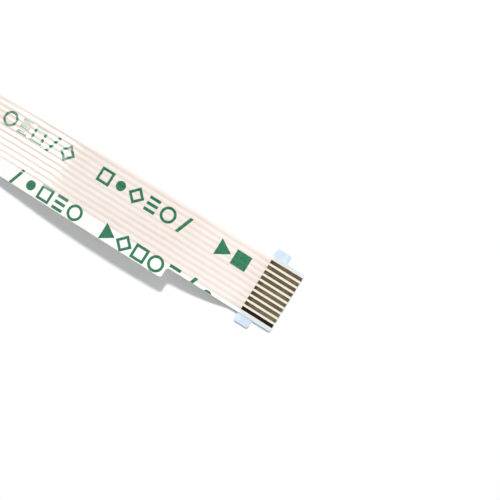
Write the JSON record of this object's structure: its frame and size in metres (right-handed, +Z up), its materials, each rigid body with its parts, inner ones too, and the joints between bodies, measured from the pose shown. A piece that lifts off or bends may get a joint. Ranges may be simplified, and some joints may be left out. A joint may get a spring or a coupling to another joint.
{
  "type": "flat flex cable",
  "caption": "Flat flex cable with parallel conductors ridged under white film, a plain margin along one edge, and bare contacts over an eared stiffener at each end.",
  "frame": {"origin": "centre of the overall box in plan, on the surface that the cable lies on", "axes": "+X along the cable, +Y across it and away from the wide margin, +Z up; the contacts face +Z"},
  "size_m": [0.0644, 0.0072, 0.0021],
  "materials": {
    "film": "thin white polyester film, satin",
    "stiffener": "pale blue polyester tape, matte",
    "conductor": "plated flat copper, dull"
  },
  "bodies": {
    "root": {"bottom_film": "film", "top_film": "film", "stiffener_left": "stiffener", "stiffener_right": "stiffener", "conductor_01": "conductor", "conductor_02": "conductor", "conductor_03": "conductor", "conductor_04": "conductor", "conductor_05": "conductor", "conductor_06": "conductor", "conductor_07": "conductor", "conductor_08": "conductor", "conductor_09": "conductor", "conductor_10": "conductor"}
  },
  "joints": []
}
